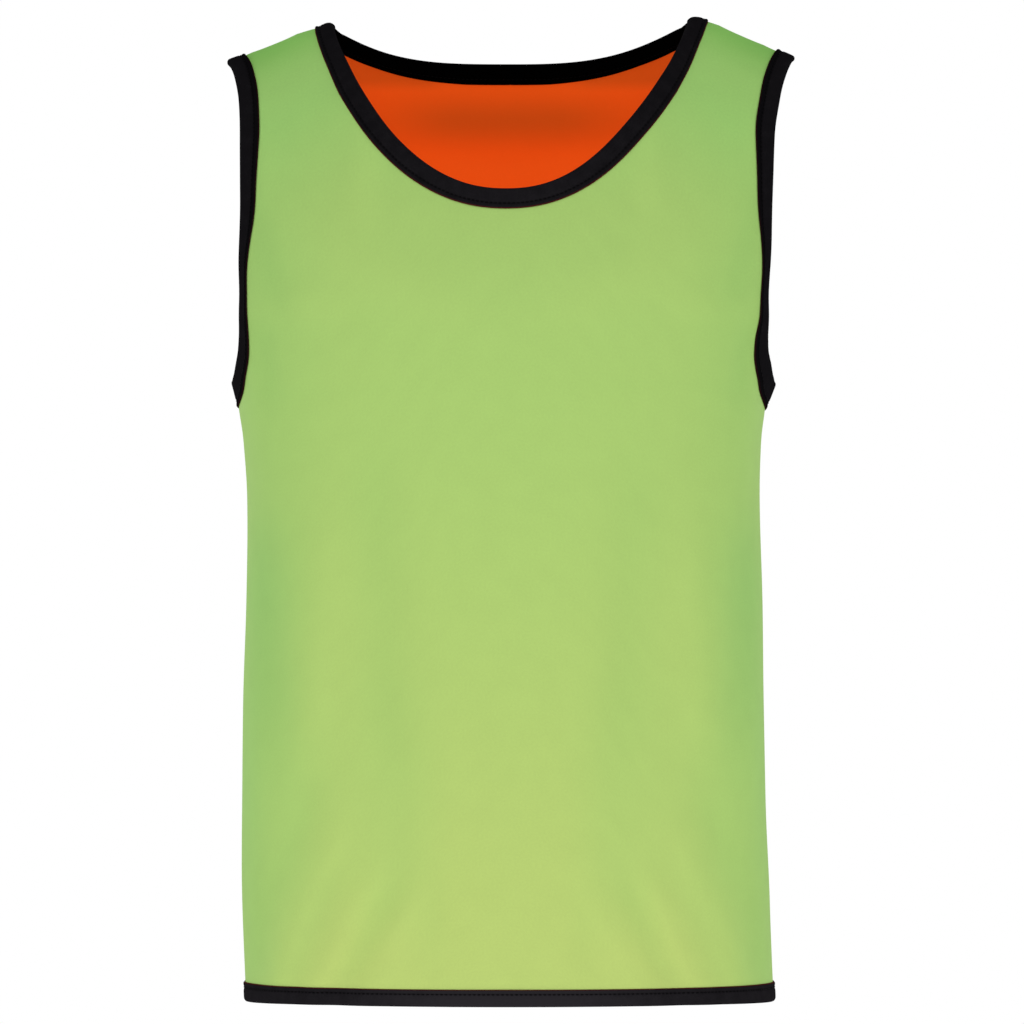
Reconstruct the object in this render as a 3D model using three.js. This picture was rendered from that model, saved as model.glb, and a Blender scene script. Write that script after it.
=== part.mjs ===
import * as THREE from 'three';

// A reversible sleeveless bib in the shape it has when it is worn, in millimetres.
// X runs to the right as seen from the front, the front faces -Y and Z is up.
// The origin lies midway between the two shoulder seams, where the wearer's shoulders carry it.
// Heights on the garment are given as "down", the distance below that origin.

// Driving dimensions of the cut
const HEM_DOWN = 698;
const NECK_HALF_WIDTH = 131;
const NECK_DROP = { front: 123, back: 27 };
const NECK_POWER = { front: 2.2, back: 3.3 };
const BINDING_WIDTH = 14;
const HEM_BINDING_WIDTH = 12;
const NECK_LEAN = { front: -1.6, back: -0.6 };
const BACK_ARMHOLE_INSET = 1.5;

// Cloth walls, from the outside in: a knit layer of each colour with a tape folded over both
const CLOTH = 1;
const TAPE = 1;
const GAP = 0.3;
const LAYERS = 2 * CLOTH + GAP;
const FOLD_CHAMFER = 0.8;

// The rounding of the shoulders: height over which the depth grows from the seam to its full size
const CAP_HEIGHT = { front: 170, back: 150 };
const CAP_POWER = 2.2;
const CAP_ARC = 200;
const SHOULDER_TILT = 3.2;

// Cells of the cloth walls
const EDGE_CELLS = 12;
const ACROSS_CELLS = 10;
const CORNER_CELLS = 2;
const SIDE_CORNER_DROP = 60;
const MIDDLE_CORNER_DROP = { front: 56, back: 105 };
const DOWN_CELLS = 9;
const BEND_FADE = 3;

// One row for each section of the body, from the shoulder line to the hem: half width, sideways
// shift of its middle, depth to the front and to the back, and the power of its superellipse.
const SECTIONS = [
  { down: 0, half: 258, shift: 2.3, front: 60, back: 66, power: 2.3 },
  { down: 28, half: 248, shift: 2.4, front: 69, back: 71.5, power: 2.35 },
  { down: 45, half: 241, shift: 1.5, front: 74.5, back: 72.8, power: 2.4 },
  { down: 60, half: 235, shift: 0.7, front: 80, back: 77, power: 2.4 },
  { down: 85, half: 226, shift: -0.9, front: 86, back: 87, power: 2.45 },
  { down: 110, half: 218, shift: -1.4, front: 92.5, back: 96, power: 2.5 },
  { down: 150, half: 205.3, shift: -2.1, front: 106, back: 105, power: 2.55 },
  { down: 188, half: 197.5, shift: -3.2, front: 115, back: 109.5, power: 2.6 },
  { down: 214, half: 195.2, shift: -3.5, front: 118, back: 110, power: 2.6 },
  { down: 239, half: 192.4, shift: -4.3, front: 119, back: 109.5, power: 2.6 },
  { down: 260, half: 190, shift: -4.6, front: 119, back: 108.5, power: 2.6 },
  { down: 277, half: 188.2, shift: -4.3, front: 118, back: 107.5, power: 2.6 },
  { down: 300, half: 185.2, shift: -4, front: 117, back: 106, power: 2.55 },
  { down: 342, half: 183.4, shift: -3.2, front: 115, back: 102, power: 2.5 },
  { down: 414, half: 184.8, shift: -2.5, front: 111.5, back: 98, power: 2.4 },
  { down: 485, half: 186.3, shift: -3.2, front: 110, back: 97.5, power: 2.35 },
  { down: 557, half: 187.3, shift: -2.9, front: 112, back: 101, power: 2.3 },
  { down: 628, half: 188.8, shift: -1.4, front: 116, back: 106, power: 2.25 },
  { down: 698, half: 188.8, shift: 1.3, front: 120, back: 110, power: 2.2 },
];

// Height of the shoulder line over the origin, by distance from the middle. Inside the neck it
// rises, because there the chest and the back no longer curve towards each other.
const SHOULDER_LINE = [
  { out: 0, up: 95 },
  { out: 40, up: 82 },
  { out: 80, up: 44 },
  { out: 110, up: 14 },
  { out: 131, up: 0 },
  { out: 139, up: -3 },
  { out: 160, up: -13 },
  { out: 186, up: -23.2 },
  { out: 203, up: -27.8 },
  { out: 262, up: -48 },
];

// The armhole's edge in the front view: its half width at each distance below the shoulder line,
// and how far the tape there flares out sideways from the form, most of all under the arm
const ARMHOLE = [
  { below: 0, half: 203, flare: 0 },
  { below: 5, half: 199.7, flare: 0 },
  { below: 14.5, half: 196, flare: 0 },
  { below: 33, half: 191.8, flare: 0 },
  { below: 60, half: 189, flare: 0 },
  { below: 105, half: 188, flare: 0 },
  { below: 148, half: 187.3, flare: 0 },
  { below: 191, half: 184.8, flare: 0.9 },
  { below: 215, half: 185, flare: 2.3 },
  { below: 226, half: 186.6, flare: 3.5 },
  { below: 235, half: 190, flare: 3.8 },
];

// The largest folds, each along a straight line on its panel. Height is outwards, so a trough has
// a negative one, and width is the distance over which the fold dies away to each side.
const FOLDS = [
  { side: 'front', x: -84, down: 350, toX: -76, toDown: 530, width: 20, height: -2.6 },
  { side: 'front', x: 80, down: 360, toX: 75, toDown: 490, width: 20, height: -2.4 },
  { side: 'front', x: -125, down: 400, toX: -139, toDown: 525, width: 20, height: 2 },
  { side: 'front', x: -139, down: 525, toX: -160, toDown: 698, width: 18, height: 2.2 },
  { side: 'front', x: 124, down: 412, toX: 138, toDown: 525, width: 20, height: 2 },
  { side: 'front', x: 138, down: 525, toX: 166, toDown: 698, width: 18, height: 2.2 },
  { side: 'front', x: -66, down: 590, toX: -112, toDown: 698, width: 17, height: -3.2 },
  { side: 'front', x: 70, down: 585, toX: 115, toDown: 698, width: 17, height: -3 },
  { side: 'front', x: -36, down: 600, toX: -84, toDown: 698, width: 22, height: 2 },
  { side: 'front', x: 34, down: 600, toX: 82, toDown: 698, width: 22, height: 1.8 },
  { side: 'back', x: -62, down: 330, toX: -70, toDown: 560, width: 24, height: -3 },
  { side: 'back', x: 74, down: 380, toX: 64, toDown: 600, width: 24, height: -2.8 },
  { side: 'back', x: 4, down: 400, toX: -6, toDown: 640, width: 26, height: 2 },
  { side: 'back', x: -122, down: 420, toX: -134, toDown: 698, width: 20, height: 2.6 },
  { side: 'back', x: 126, down: 470, toX: 140, toDown: 698, width: 20, height: 2.4 },
  { side: 'back', x: -66, down: 600, toX: -92, toDown: 698, width: 18, height: -2.6 },
  { side: 'back', x: 60, down: 630, toX: 84, toDown: 698, width: 18, height: -2.8 },
];
const FOLD_END_STRETCH = 0.4;
const FOLD_SEAM_FADE = 45;

// A smooth curve through a table's rows that never overshoots between two of them
function smoothTable(rows, key, value) {
  const at = rows.map((row) => row[key]);
  const values = rows.map((row) => row[value]);
  const last = rows.length - 1;
  const slopes = [];
  for (let i = 0; i < last; i += 1) {
    slopes.push((values[i + 1] - values[i]) / (at[i + 1] - at[i]));
  }
  const tangents = values.map((_, i) => {
    const before = slopes[Math.max(i - 1, 0)];
    const after = slopes[Math.min(i, last - 1)];
    return before * after <= 0 ? 0 : (2 * before * after) / (before + after);
  });
  return (position) => {
    let i = 0;
    while (i < last - 1 && position > at[i + 1]) {
      i += 1;
    }
    const span = at[i + 1] - at[i];
    const s = THREE.MathUtils.clamp((position - at[i]) / span, 0, 1);
    const s2 = s * s;
    const s3 = s2 * s;
    return (
      values[i] * (2 * s3 - 3 * s2 + 1) +
      values[i + 1] * (3 * s2 - 2 * s3) +
      span * (tangents[i] * (s3 - 2 * s2 + s) + tangents[i + 1] * (s3 - s2))
    );
  };
}

const halfWidth = smoothTable(SECTIONS, 'down', 'half');
const shift = smoothTable(SECTIONS, 'down', 'shift');
const power = smoothTable(SECTIONS, 'down', 'power');
const depth = {
  front: smoothTable(SECTIONS, 'down', 'front'),
  back: smoothTable(SECTIONS, 'down', 'back'),
};
const shoulderLine = smoothTable(SHOULDER_LINE, 'out', 'up');
const armholeHalf = smoothTable(ARMHOLE, 'below', 'half');
const armholeFlare = smoothTable(ARMHOLE, 'below', 'flare');
const outward = { front: -1, back: 1 };

function shoulderHeight(x) {
  const tilt = SHOULDER_TILT * Math.sin((Math.PI * x) / (2 * NECK_HALF_WIDTH));
  return shoulderLine(Math.abs(x)) + tilt;
}

// A superellipse seen from its centre: the distance to it in the direction of an angle
function reach(angle, exponent) {
  const total = Math.abs(Math.sin(angle)) ** exponent + Math.abs(Math.cos(angle)) ** exponent;
  return total ** (-1 / exponent);
}

// A place on a panel is a pair of coordinates: "girth" is the angle round the body from the
// middle of the panel to the side seam at a right angle, and "fall" is the way down from the
// shoulder seam along the cloth. This gives its point on the smooth form.
function formPoint(side, girth, fall) {
  const angle = (Math.min(fall, CAP_ARC) / CAP_ARC) * (Math.PI / 2);
  const capReach = reach(angle, CAP_POWER);
  const beyondCap = Math.max(fall - CAP_ARC, 0);
  const below = CAP_HEIGHT[side] * (1 - capReach * Math.cos(angle)) + beyondCap;
  let down = below;
  let x = 0;
  let bodyReach = 1;
  for (let i = 0; i < 14; i += 1) {
    bodyReach = reach(girth, power(down));
    x = shift(down) + halfWidth(down) * bodyReach * Math.sin(girth);
    down = below - shoulderHeight(x);
  }
  const share = capReach * Math.sin(angle) * bodyReach * Math.cos(girth);
  return new THREE.Vector3(x, outward[side] * depth[side](down) * share, -down);
}

function fallOf(side, x, down) {
  const below = shoulderHeight(x) + down;
  const rest = 1 - below / CAP_HEIGHT[side];
  if (rest <= 0) {
    return CAP_ARC + below - CAP_HEIGHT[side];
  }
  const share = Math.max(1 - rest ** CAP_POWER, 0) ** (1 / CAP_POWER);
  return (Math.atan2(share, rest) / (Math.PI / 2)) * CAP_ARC;
}

// The place of a point that is given in the front view
function placeOf(side, x, down) {
  const across = THREE.MathUtils.clamp((x - shift(down)) / halfWidth(down), -1, 1);
  const rest = Math.max(1 - Math.abs(across) ** power(down), 0) ** (1 / power(down));
  return { girth: Math.atan2(across, rest), fall: fallOf(side, x, down) };
}

// The place at a given height on the side seams or on the line down the middle of a panel
function placeAt(side, girth, down) {
  const x = shift(down) + halfWidth(down) * reach(girth, power(down)) * Math.sin(girth);
  return { girth, fall: fallOf(side, x, down) };
}

function formTangents(side, place) {
  const turn = 0.002;
  const step = 0.5;
  const round = formPoint(side, place.girth + turn, place.fall)
    .sub(formPoint(side, place.girth - turn, place.fall))
    .divideScalar(2 * turn);
  const along = formPoint(side, place.girth, place.fall + step)
    .sub(formPoint(side, place.girth, place.fall - step))
    .divideScalar(2 * step);
  return { round, along };
}

function formNormal(side, place) {
  const { round, along } = formTangents(side, place);
  return along.cross(round).multiplyScalar(-outward[side]).normalize();
}

// How far the folds lift the cloth off the smooth form. They fade out towards the seams.
function foldHeight(side, point) {
  let height = 0;
  for (const fold of FOLDS) {
    if (fold.side !== side) {
      continue;
    }
    const run = new THREE.Vector2(fold.toX - fold.x, fold.down - fold.toDown);
    const from = new THREE.Vector2(point.x - fold.x, point.z + fold.down);
    const length = run.length();
    const along = from.dot(run) / length;
    const beyond = (along - THREE.MathUtils.clamp(along, 0, length)) * FOLD_END_STRETCH;
    const across = from.cross(run) / length;
    height += fold.height * Math.exp(-(across ** 2 + beyond ** 2) / fold.width ** 2);
  }
  return height * THREE.MathUtils.smoothstep(Math.abs(point.y), 0, FOLD_SEAM_FADE);
}

// A corner of the cloth's mesh: its point on the outer layer's face, and the way out of the cloth
function clothPoint(side, place) {
  const normal = formNormal(side, place);
  const point = formPoint(side, place.girth, place.fall);
  point.addScaledVector(normal, foldHeight(side, point));
  return { point, normal };
}

// Evenly spaced places along an edge that is given as a function of a number from 0 to 1
function evenPlaces(side, edge, cells) {
  const samples = 300;
  const places = [];
  const lengths = [0];
  let before = null;
  for (let i = 0; i <= samples; i += 1) {
    const place = edge(i / samples);
    const point = formPoint(side, place.girth, place.fall);
    if (before) {
      lengths.push(lengths[i - 1] + point.distanceTo(before));
    }
    places.push(place);
    before = point;
  }
  const even = [];
  let i = 0;
  for (let cell = 0; cell <= cells; cell += 1) {
    const wanted = (lengths[samples] * cell) / cells;
    while (i < samples - 1 && lengths[i + 1] < wanted) {
      i += 1;
    }
    const s = (wanted - lengths[i]) / (lengths[i + 1] - lengths[i]);
    even.push(mixPlaces(places[i], places[i + 1], s));
  }
  return even;
}

function mixPlaces(a, b, s) {
  return {
    girth: THREE.MathUtils.lerp(a.girth, b.girth, s),
    fall: THREE.MathUtils.lerp(a.fall, b.fall, s),
  };
}

// The place a given way off along the cloth
function walk(side, start, direction) {
  const target = formPoint(side, start.girth, start.fall).add(direction);
  const place = { ...start };
  for (let i = 0; i < 6; i += 1) {
    const miss = target.clone().sub(formPoint(side, place.girth, place.fall));
    const { round, along } = formTangents(side, place);
    const rr = round.dot(round);
    const aa = along.dot(along);
    const ra = round.dot(along);
    const mr = miss.dot(round);
    const ma = miss.dot(along);
    const det = rr * aa - ra * ra;
    place.girth += (mr * aa - ma * ra) / det;
    place.fall += (ma * rr - mr * ra) / det;
  }
  return place;
}

// The line one binding width inside an edge. The edge starts at the shoulder seam, and there the
// line lies to the side that towards gives. It crosses that seam, and at its end the side seam
// or the middle of the panel, at a right angle, so both ends of the line stay on them.
function insetLine(side, edge, towards, endGirth) {
  const points = edge.map((place) => formPoint(side, place.girth, place.fall));
  const last = edge.length - 1;
  let turn = 0;
  return edge.map((place, i) => {
    const tangent = points[Math.min(i + 1, last)].clone().sub(points[Math.max(i - 1, 0)]);
    if (i === 0) {
      tangent.set(0, outward[side], 0);
    }
    if (i === last && endGirth === 0) {
      tangent.set(-towards, 0, 0);
    }
    if (i === last && endGirth !== 0) {
      tangent.set(0, -outward[side], 0);
    }
    const direction = formNormal(side, place).cross(tangent).normalize();
    if (i === 0) {
      turn = Math.sign(direction.x * towards);
    }
    const inset = walk(side, place, direction.multiplyScalar(turn * BINDING_WIDTH));
    if (i === 0) {
      inset.fall = 0;
    }
    if (i === last) {
      inset.girth = endGirth;
    }
    return inset;
  });
}

// Half of a panel's edges: hand is 1 on the right half, seen from the front, and -1 on the left
function armholeEdge(side, hand) {
  const lowest = ARMHOLE[ARMHOLE.length - 1].below;
  return (s) => {
    const below = (lowest * (1 - Math.cos(Math.PI * s))) / 2;
    const inset = side === 'back' ? BACK_ARMHOLE_INSET * Math.sin(Math.PI * s) : 0;
    const half = armholeHalf(below) - inset;
    const down = below - shoulderHeight(hand * half);
    const place = placeOf(side, shift(down) + hand * half, down);
    if (s === 0) {
      place.fall = 0;
    }
    if (s === 1) {
      place.girth = (hand * Math.PI) / 2;
    }
    return place;
  };
}

function neckEdge(side, hand) {
  const top = shoulderHeight(hand * NECK_HALF_WIDTH + shift(0));
  return (s) => {
    const share = Math.cos((Math.PI / 2) * s);
    const rise = share ** NECK_POWER[side];
    const down = NECK_DROP[side] * (1 - rise) - top * rise;
    const middle = shift(down) + NECK_LEAN[side] * Math.sin(Math.PI * s);
    const place = placeOf(side, middle + hand * NECK_HALF_WIDTH * share, down);
    if (s === 0) {
      place.fall = 0;
    }
    if (s === 1) {
      place.girth = 0;
    }
    return place;
  };
}

// A grid of places between four edges. Its rows run straight from the left edge to the right
// one, and take on the bends of the top and the bottom only as they come near to them.
function fillGrid(top, bottom, left, right) {
  const rows = left.length - 1;
  const columns = top.length - 1;
  return left.map((_, j) => top.map((__, i) => {
    const u = i / columns;
    const v = j / rows;
    const place = mixPlaces(left[j], right[j], u);
    for (const [end, weight] of [[top, (1 - v) ** BEND_FADE], [bottom, v ** BEND_FADE]]) {
      const straight = mixPlaces(end[0], end[columns], u);
      place.girth += weight * (end[i].girth - straight.girth);
      place.fall += weight * (end[i].fall - straight.fall);
    }
    return place;
  }));
}

function line(from, to, cells) {
  return Array.from({ length: cells + 1 }, (_, i) => mixPlaces(from, to, i / cells));
}

// All the cloth points of half a panel. The upper grid runs from the armhole to the neck, and
// the lower one hangs from its bottom line, a little below both, down to the hem's binding.
function halfPanel(side, hand) {
  const seam = (hand * Math.PI) / 2;
  const armhole = evenPlaces(side, armholeEdge(side, hand), EDGE_CELLS);
  const neck = evenPlaces(side, neckEdge(side, hand), EDGE_CELLS);
  const armholeInset = insetLine(side, armhole, -hand, seam);
  const neckInset = insetLine(side, neck, hand, 0);

  const armpit = armholeInset[EDGE_CELLS];
  const throat = neckInset[EDGE_CELLS];
  const sideCorner = { girth: seam, fall: armpit.fall + SIDE_CORNER_DROP };
  const middleCorner = { girth: 0, fall: throat.fall + MIDDLE_CORNER_DROP[side] };
  const across = line(sideCorner, middleCorner, ACROSS_CELLS);
  const bottom = [
    ...line(armpit, sideCorner, CORNER_CELLS).slice(0, -1),
    ...across,
    ...line(middleCorner, throat, CORNER_CELLS).slice(1),
  ];
  const top = line(armholeInset[0], neckInset[0], bottom.length - 1);
  const upper = fillGrid(top, bottom, armholeInset, neckInset);

  const hemRow = (down) => line({ girth: seam }, { girth: 0 }, ACROSS_CELLS)
    .map((place) => placeAt(side, place.girth, down));
  const hemInset = hemRow(HEM_DOWN - HEM_BINDING_WIDTH);
  const lower = fillGrid(
    across,
    hemInset,
    line(sideCorner, hemInset[0], DOWN_CELLS),
    line(middleCorner, hemInset[ACROSS_CELLS], DOWN_CELLS),
  );

  const raise = (places) => places.map((place) => clothPoint(side, place));
  const flared = raise(armhole);
  for (const { point } of flared) {
    point.x += hand * armholeFlare(shoulderHeight(point.x) - point.z);
  }
  return {
    armhole: flared,
    armholeInset: raise(armholeInset),
    neck: raise(neck),
    neckInset: raise(neckInset),
    hem: raise(hemRow(HEM_DOWN)),
    hemInset: raise(hemInset),
    upper: upper.map(raise),
    lower: lower.map(raise),
  };
}

// The cloth's own edge inside its binding: it stops one tape and one gap short of the fold
function trimmed(edge, inset) {
  return edge.map((corner, i) => {
    const share = (TAPE + GAP) / corner.point.distanceTo(inset[i].point);
    return {
      point: corner.point.clone().lerp(inset[i].point, share),
      normal: corner.normal.clone().lerp(inset[i].normal, share),
    };
  });
}

function gridQuads(rows) {
  const quads = [];
  for (let j = 0; j < rows.length - 1; j += 1) {
    for (let i = 0; i < rows[j].length - 1; i += 1) {
      quads.push([rows[j][i], rows[j][i + 1], rows[j + 1][i + 1], rows[j + 1][i]]);
    }
  }
  return quads;
}

function halfPanelQuads(half) {
  return [
    ...gridQuads(half.upper),
    ...gridQuads(half.lower),
    ...gridQuads([trimmed(half.armhole, half.armholeInset), half.armholeInset]),
    ...gridQuads([trimmed(half.neck, half.neckInset), half.neckInset]),
    ...gridQuads([trimmed(half.hem, half.hemInset), half.hemInset]),
  ];
}

// The two triangles of a quad, cut along its shorter diagonal
function splitQuad(quad, positionOf) {
  const [a, b, c, d] = quad;
  const first = positionOf(a).distanceTo(positionOf(c));
  const second = positionOf(b).distanceTo(positionOf(d));
  return first <= second ? [[a, b, c], [a, c, d]] : [[a, b, d], [b, c, d]];
}

function solidGeometry(points, triangles) {
  const geometry = new THREE.BufferGeometry();
  const coordinates = points.flatMap((point) => [point.x, point.y, point.z]);
  geometry.setAttribute('position', new THREE.Float32BufferAttribute(coordinates, 3));
  geometry.setIndex(triangles.flat());
  geometry.computeVertexNormals();
  return geometry;
}

// One layer of a panel as a closed wall between two distances from the form's face. Corners on a
// seam stand half a gap back from it, so the front and the back lie one gap apart.
function layerGeometry(side, quads, outerFace, innerFace) {
  const indexOf = new Map();
  const corners = [];
  const weld = (corner) => {
    const key = corner.point.toArray().map((value) => value.toFixed(3)).join();
    if (!indexOf.has(key)) {
      indexOf.set(key, corners.length);
      corners.push(corner);
    }
    return indexOf.get(key);
  };

  const triangles = [];
  for (const quad of quads) {
    const split = splitQuad(quad.map(weld), (index) => corners[index].point);
    for (const [a, b, c] of split) {
      const plane = new THREE.Plane().setFromCoplanarPoints(
        corners[a].point,
        corners[b].point,
        corners[c].point,
      );
      triangles.push(plane.normal.dot(corners[a].normal) > 0 ? [a, b, c] : [a, c, b]);
    }
  }

  const faceAt = (distance) => corners.map(({ point, normal }) => {
    const moved = point.clone().addScaledVector(normal, distance);
    if (Math.abs(moved.y) < GAP / 2) {
      moved.y = (outward[side] * GAP) / 2;
    }
    return moved;
  });
  const points = [...faceAt(outerFace), ...faceAt(innerFace)];

  const count = corners.length;
  const edges = new Set(triangles.flatMap(([a, b, c]) => [`${a} ${b}`, `${b} ${c}`, `${c} ${a}`]));
  const walls = [];
  for (const edge of edges) {
    const [a, b] = edge.split(' ').map(Number);
    if (!edges.has(`${b} ${a}`)) {
      walls.push([b, a, a + count], [b, a + count, b + count]);
    }
  }
  const inside = triangles.map(([a, b, c]) => [c + count, b + count, a + count]);
  return solidGeometry(points, [...triangles, ...inside, ...walls]);
}

// The folded tape round an edge: two leaves and the fold between them, as a ring of sections.
// In each section, "in" is the distance from the fold into the cloth and "out" is measured from
// the outer layer's face.
function bindingGeometry(stations) {
  const outerLeaf = GAP + TAPE;
  const innerLeaf = -LAYERS - GAP - TAPE;
  const section = (width) => [
    { in: width, out: outerLeaf },
    { in: FOLD_CHAMFER, out: outerLeaf },
    { in: 0, out: outerLeaf - FOLD_CHAMFER },
    { in: 0, out: innerLeaf + FOLD_CHAMFER },
    { in: FOLD_CHAMFER, out: innerLeaf },
    { in: width, out: innerLeaf },
    { in: width, out: innerLeaf + TAPE },
    { in: TAPE, out: innerLeaf + TAPE },
    { in: TAPE, out: GAP },
    { in: width, out: GAP },
  ];
  const points = [];
  for (const { edge, inset } of stations) {
    const width = edge.point.distanceTo(inset.point);
    for (const spot of section(width)) {
      const share = spot.in / width;
      const normal = edge.normal.clone().lerp(inset.normal, share);
      points.push(edge.point.clone().lerp(inset.point, share).addScaledVector(normal, spot.out));
    }
  }

  const sides = section(BINDING_WIDTH).length;
  const triangles = [];
  stations.forEach((_, k) => {
    const here = k * sides;
    const next = ((k + 1) % stations.length) * sides;
    for (let i = 0; i < sides; i += 1) {
      const j = (i + 1) % sides;
      triangles.push(...splitQuad([here + i, here + j, next + j, next + i], (n) => points[n]));
    }
  });

  let volume = 0;
  for (const [a, b, c] of triangles) {
    volume += points[a].dot(points[b].clone().cross(points[c]));
  }
  const facingOut = volume > 0 ? triangles : triangles.map(([a, b, c]) => [a, c, b]);
  return solidGeometry(points, facingOut);
}

function pairs(edge, inset) {
  return edge.map((corner, i) => ({ edge: corner, inset: inset[i] }));
}

const halves = {};
for (const side of ['front', 'back']) {
  halves[side] = { right: halfPanel(side, 1), left: halfPanel(side, -1) };
}

function panelQuads(side) {
  return [...halfPanelQuads(halves[side].right), ...halfPanelQuads(halves[side].left)];
}

// An armhole's ring goes down the front and up the back, and each seam has one section
function armholeStations(hand) {
  const front = halves.front[hand];
  const back = halves.back[hand];
  return [
    ...pairs(front.armhole, front.armholeInset),
    ...pairs(back.armhole, back.armholeInset).reverse().slice(1, -1),
  ];
}

// A ring that crosses both panels from one side to the other: once round the neck or the hem
function roundStations(edge, inset) {
  const run = (side, hand) => pairs(halves[side][hand][edge], halves[side][hand][inset]);
  return [
    ...run('front', 'right'),
    ...run('front', 'left').reverse().slice(1),
    ...run('back', 'left').slice(1),
    ...run('back', 'right').reverse().slice(1, -1),
  ];
}

// Finishes
const limeKnit = { color: '#a9ca70', roughness: 0.78, metalness: 0 };
const orangeKnit = { color: '#e14a10', roughness: 0.8, metalness: 0 };
const blackTape = { color: '#161416', roughness: 0.72, metalness: 0 };

const bib = new THREE.Group();

function addPiece(name, geometry, finish) {
  const piece = new THREE.Mesh(geometry, new THREE.MeshStandardMaterial(finish));
  piece.name = name;
  bib.add(piece);
}

for (const side of ['front', 'back']) {
  const quads = panelQuads(side);
  addPiece(`${side}_outer`, layerGeometry(side, quads, 0, -CLOTH), limeKnit);
  addPiece(`${side}_inner`, layerGeometry(side, quads, -CLOTH - GAP, -LAYERS), orangeKnit);
}
addPiece('neck_binding', bindingGeometry(roundStations('neck', 'neckInset')), blackTape);
addPiece('armhole_binding_left', bindingGeometry(armholeStations('left')), blackTape);
addPiece('armhole_binding_right', bindingGeometry(armholeStations('right')), blackTape);
addPiece('hem_binding', bindingGeometry(roundStations('hem', 'hemInset')), blackTape);

export default bib;
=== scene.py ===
# %% [markdown]
# # A reversible sleeveless bib, sewn in Blender
# The bib is two layers of fine knit, lime green outside and orange inside, with black tape folded
# over every edge. It keeps the shape that it has when it is worn, with nobody in it.
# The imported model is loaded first. It is the frame: it holds each piece's size and place, and
# every piece made here stands for one of its nodes.

import math

import bmesh
import bpy
import numpy as np
from mathutils import Matrix, Vector


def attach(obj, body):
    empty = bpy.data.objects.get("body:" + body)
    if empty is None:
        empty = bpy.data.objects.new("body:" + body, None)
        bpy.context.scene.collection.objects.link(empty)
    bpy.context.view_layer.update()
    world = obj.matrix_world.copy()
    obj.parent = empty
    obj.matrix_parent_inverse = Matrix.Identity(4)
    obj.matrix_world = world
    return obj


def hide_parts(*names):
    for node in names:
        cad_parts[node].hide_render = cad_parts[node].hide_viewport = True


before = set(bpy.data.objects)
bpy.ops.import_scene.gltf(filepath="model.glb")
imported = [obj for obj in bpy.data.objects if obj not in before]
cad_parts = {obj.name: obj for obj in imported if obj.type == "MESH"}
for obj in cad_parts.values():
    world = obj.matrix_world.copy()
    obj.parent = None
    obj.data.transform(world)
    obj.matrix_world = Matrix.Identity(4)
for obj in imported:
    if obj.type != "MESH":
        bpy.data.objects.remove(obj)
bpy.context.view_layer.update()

# %% [markdown]
# ## The garment's form in numbers
# A worn garment has no straight edges, but it does have sizes that a maker could measure: how
# wide and deep it is at each height, how its shoulder line falls, and where its edges run.
# The same short tables that shaped the solids shape the cloth here, in millimetres. Heights
# are given as "down", the distance below the point between the two shoulder seams.

# %% Driving sizes
MM = 0.001
HEM_DOWN = 698.0
HEM_DIP = 2.2
NECK_HALF_WIDTH = 131.0
NECK_DROP = {"front": 123.0, "back": 27.0}
NECK_POWER = {("front", 1): 2.3, ("front", -1): 2.2, ("back", 1): 2.8, ("back", -1): 3.3}
NECK_TURN = 3.4
NECK_TURN_DROP = 16.0
NECK_LEAN = {"front": -1.6, "back": -0.6}
BACK_ARMHOLE_INSET = 1.5
ARMHOLE_DEPTH = {1: 236.0, -1: 230.0}
ARMHOLE_OUT = {1: 1.8, -1: 0.7}
TAPE_WIDTH = 14.0
BACK_TAPE_WIDENS = 30.0
NECK_TAPE_WIDTH = {"front": 15.8, "back": 15.2}
NECK_TAPE_AT_SHOULDER = {"front": 13.4, "back": 13.2}
NECK_TAPE_NARROWS = {"front": (106.0, 124.0), "back": (30.0, 90.0)}
HEM_TAPE_WIDTH = 12.2
HEM_TAPE_WIDENS = 2.0
CAP_HEIGHT = {"front": 170.0, "back": 150.0}
CAP_POWER = 2.2
CAP_ARC = 200.0
SHOULDER_TILT = 3.2
CORNER_POWER = 6
OUTWARD = {"front": -1.0, "back": 1.0}

# Sections of the body: half width, shift of the middle, depth to the front and back, roundness
SECTION_COLUMNS = ("down", "half", "shift", "front", "back", "power")
SECTIONS = np.array([
    (0, 258, 2.3, 60, 66, 2.3),
    (28, 248, 2.4, 69, 71.5, 2.35),
    (45, 241, 1.5, 74.5, 72.8, 2.4),
    (60, 235, 0.7, 80, 77, 2.4),
    (85, 226, -0.9, 86, 87, 2.45),
    (110, 218, -1.4, 92.5, 96, 2.5),
    (150, 205.3, -2.1, 106, 105, 2.55),
    (188, 197.5, -3.2, 115, 109.5, 2.6),
    (214, 195.2, -3.5, 118, 110, 2.6),
    (239, 192.4, -4.3, 119, 109.5, 2.6),
    (260, 190, -4.6, 119, 108.5, 2.6),
    (277, 188.2, -4.3, 118, 107.5, 2.6),
    (300, 185.2, -4, 117, 106, 2.55),
    (342, 183.4, -3.2, 115, 102, 2.5),
    (414, 184.8, -2.5, 111.5, 98, 2.4),
    (485, 186.3, -3.2, 110, 97.5, 2.35),
    (557, 187.3, -2.9, 112, 101, 2.3),
    (628, 188.8, -1.4, 116, 106, 2.25),
    (698, 188.8, 1.3, 120, 110, 2.2),
])

# The shoulder line's height by distance from the middle
SHOULDER_COLUMNS = ("out", "up")
SHOULDER_LINE = np.array([
    (0, 95), (40, 82), (80, 44), (110, 14), (131, 0),
    (139, -3), (160, -13), (186, -23.2), (203, -27.8), (262, -48),
])

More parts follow.
